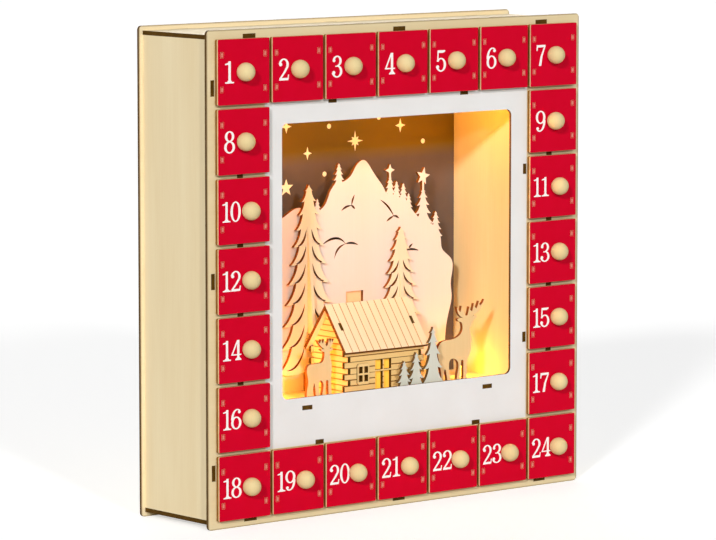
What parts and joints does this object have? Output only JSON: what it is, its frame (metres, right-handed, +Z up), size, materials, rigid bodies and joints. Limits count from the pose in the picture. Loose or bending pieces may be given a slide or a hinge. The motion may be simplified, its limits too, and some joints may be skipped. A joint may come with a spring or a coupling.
{
  "type": "wooden advent calendar",
  "caption": "Square plywood advent calendar with numbered drawers on all sides of a lit winter scene; each drawer slides out by its ball knob.",
  "frame": {"origin": "middle of the whole object's footprint, on the surface it stands on", "axes": "+X to the right seen from the front, +Y from the drawers' fronts to the back panel, +Z up"},
  "size_m": [0.34, 0.0921, 0.34],
  "materials": {
    "natural_ply": "bare sanded plywood",
    "white_painted_ply": "white painted plywood with a bare border",
    "sky_printed_ply": "bare outside, dark printed sky inside",
    "red_painted_ply": "red painted plywood front, bare tray and knob",
    "scenery_ply": "bare laser cut plywood",
    "snowy_ply": "grey white painted plywood",
    "black_plastic": "moulded",
    "cell_sleeve": "plain sleeve",
    "contact_steel": "plated",
    "lamp_lens": "clear warm lens",
    "wire_sheath": "thin sheath"
  },
  "bodies": {
    "case": {"back_panel": "sky_printed_ply", "battery_box": "black_plastic", "battery_cells": "cell_sleeve", "battery_contacts": "contact_steel", "bottom_row_dividers": "natural_ply", "bottom_wall": "natural_ply", "cabin_back_wall": "scenery_ply", "cabin_front_wall": "scenery_ply", "cabin_left_gable": "scenery_ply", "cabin_right_gable": "scenery_ply", "cabin_roof_back": "scenery_ply", "cabin_roof_front": "scenery_ply", "front_panel": "white_painted_ply", "inner_left_wall": "natural_ply", "inner_right_wall": "natural_ply", "led_lamps": "lamp_lens", "led_wire": "wire_sheath", "left_column_shelves": "natural_ply", "left_deer": "scenery_ply", "left_pine": "scenery_ply", "left_wall": "natural_ply", "lower_shelf": "natural_ply", "mountain": "scenery_ply", "right_column_shelves": "natural_ply", "right_deer": "scenery_ply", "right_pine": "scenery_ply", "right_wall": "natural_ply", "scene_floor": "natural_ply", "snowy_pines": "snowy_ply", "top_row_dividers": "natural_ply", "top_wall": "natural_ply", "upper_shelf": "natural_ply"},
    "battery_cover": {"battery_cover": "black_plastic"},
    "drawer_01": {"drawer_01": "red_painted_ply"},
    "drawer_02": {"drawer_02": "red_painted_ply"},
    "drawer_03": {"drawer_03": "red_painted_ply"},
    "drawer_04": {"drawer_04": "red_painted_ply"},
    "drawer_05": {"drawer_05": "red_painted_ply"},
    "drawer_06": {"drawer_06": "red_painted_ply"},
    "drawer_07": {"drawer_07": "red_painted_ply"},
    "drawer_08": {"drawer_08": "red_painted_ply"},
    "drawer_09": {"drawer_09": "red_painted_ply"},
    "drawer_10": {"drawer_10": "red_painted_ply"},
    "drawer_11": {"drawer_11": "red_painted_ply"},
    "drawer_12": {"drawer_12": "red_painted_ply"},
    "drawer_13": {"drawer_13": "red_painted_ply"},
    "drawer_14": {"drawer_14": "red_painted_ply"},
    "drawer_15": {"drawer_15": "red_painted_ply"},
    "drawer_16": {"drawer_16": "red_painted_ply"},
    "drawer_17": {"drawer_17": "red_painted_ply"},
    "drawer_18": {"drawer_18": "red_painted_ply"},
    "drawer_19": {"drawer_19": "red_painted_ply"},
    "drawer_20": {"drawer_20": "red_painted_ply"},
    "drawer_21": {"drawer_21": "red_painted_ply"},
    "drawer_22": {"drawer_22": "red_painted_ply"},
    "drawer_23": {"drawer_23": "red_painted_ply"},
    "drawer_24": {"drawer_24": "red_painted_ply"},
    "switch_slider": {"switch_slider": "black_plastic"}
  },
  "joints": [
    {"name": "drawer_01_slide", "type": "slide", "parent": "case", "child": "drawer_01", "axis": [0, -1, 0], "range_m": [0, 0.06]},
    {"name": "drawer_02_slide", "type": "slide", "parent": "case", "child": "drawer_02", "axis": [0, -1, 0], "range_m": [0, 0.06]},
    {"name": "drawer_03_slide", "type": "slide", "parent": "case", "child": "drawer_03", "axis": [0, -1, 0], "range_m": [0, 0.06]},
    {"name": "drawer_04_slide", "type": "slide", "parent": "case", "child": "drawer_04", "axis": [0, -1, 0], "range_m": [0, 0.06]},
    {"name": "drawer_05_slide", "type": "slide", "parent": "case", "child": "drawer_05", "axis": [0, -1, 0], "range_m": [0, 0.06]},
    {"name": "drawer_06_slide", "type": "slide", "parent": "case", "child": "drawer_06", "axis": [0, -1, 0], "range_m": [0, 0.06]},
    {"name": "drawer_07_slide", "type": "slide", "parent": "case", "child": "drawer_07", "axis": [0, -1, 0], "range_m": [0, 0.06]},
    {"name": "drawer_08_slide", "type": "slide", "parent": "case", "child": "drawer_08", "axis": [0, -1, 0], "range_m": [0, 0.06]},
    {"name": "drawer_09_slide", "type": "slide", "parent": "case", "child": "drawer_09", "axis": [0, -1, 0], "range_m": [0, 0.06]},
    {"name": "drawer_10_slide", "type": "slide", "parent": "case", "child": "drawer_10", "axis": [0, -1, 0], "range_m": [0, 0.06]},
    {"name": "drawer_11_slide", "type": "slide", "parent": "case", "child": "drawer_11", "axis": [0, -1, 0], "range_m": [0, 0.06]},
    {"name": "drawer_12_slide", "type": "slide", "parent": "case", "child": "drawer_12", "axis": [0, -1, 0], "range_m": [0, 0.06]},
    {"name": "drawer_13_slide", "type": "slide", "parent": "case", "child": "drawer_13", "axis": [0, -1, 0], "range_m": [0, 0.06]},
    {"name": "drawer_14_slide", "type": "slide", "parent": "case", "child": "drawer_14", "axis": [0, -1, 0], "range_m": [0, 0.06]},
    {"name": "drawer_15_slide", "type": "slide", "parent": "case", "child": "drawer_15", "axis": [0, -1, 0], "range_m": [0, 0.06]},
    {"name": "drawer_16_slide", "type": "slide", "parent": "case", "child": "drawer_16", "axis": [0, -1, 0], "range_m": [0, 0.06]},
    {"name": "drawer_17_slide", "type": "slide", "parent": "case", "child": "drawer_17", "axis": [0, -1, 0], "range_m": [0, 0.06]},
    {"name": "drawer_18_slide", "type": "slide", "parent": "case", "child": "drawer_18", "axis": [0, -1, 0], "range_m": [0, 0.06]},
    {"name": "drawer_19_slide", "type": "slide", "parent": "case", "child": "drawer_19", "axis": [0, -1, 0], "range_m": [0, 0.06]},
    {"name": "drawer_20_slide", "type": "slide", "parent": "case", "child": "drawer_20", "axis": [0, -1, 0], "range_m": [0, 0.06]},
    {"name": "drawer_21_slide", "type": "slide", "parent": "case", "child": "drawer_21", "axis": [0, -1, 0], "range_m": [0, 0.06]},
    {"name": "drawer_22_slide", "type": "slide", "parent": "case", "child": "drawer_22", "axis": [0, -1, 0], "range_m": [0, 0.06]},
    {"name": "drawer_23_slide", "type": "slide", "parent": "case", "child": "drawer_23", "axis": [0, -1, 0], "range_m": [0, 0.06]},
    {"name": "drawer_24_slide", "type": "slide", "parent": "case", "child": "drawer_24", "axis": [0, -1, 0], "range_m": [0, 0.06]},
    {"name": "battery_cover_lift", "type": "slide", "parent": "case", "child": "battery_cover", "axis": [0, 1, 0], "range_m": [0, 0.02]},
    {"name": "switch_slide", "type": "slide", "parent": "case", "child": "switch_slider", "axis": [1, 0, 0], "range_m": [0, 0.004]}
  ]
}
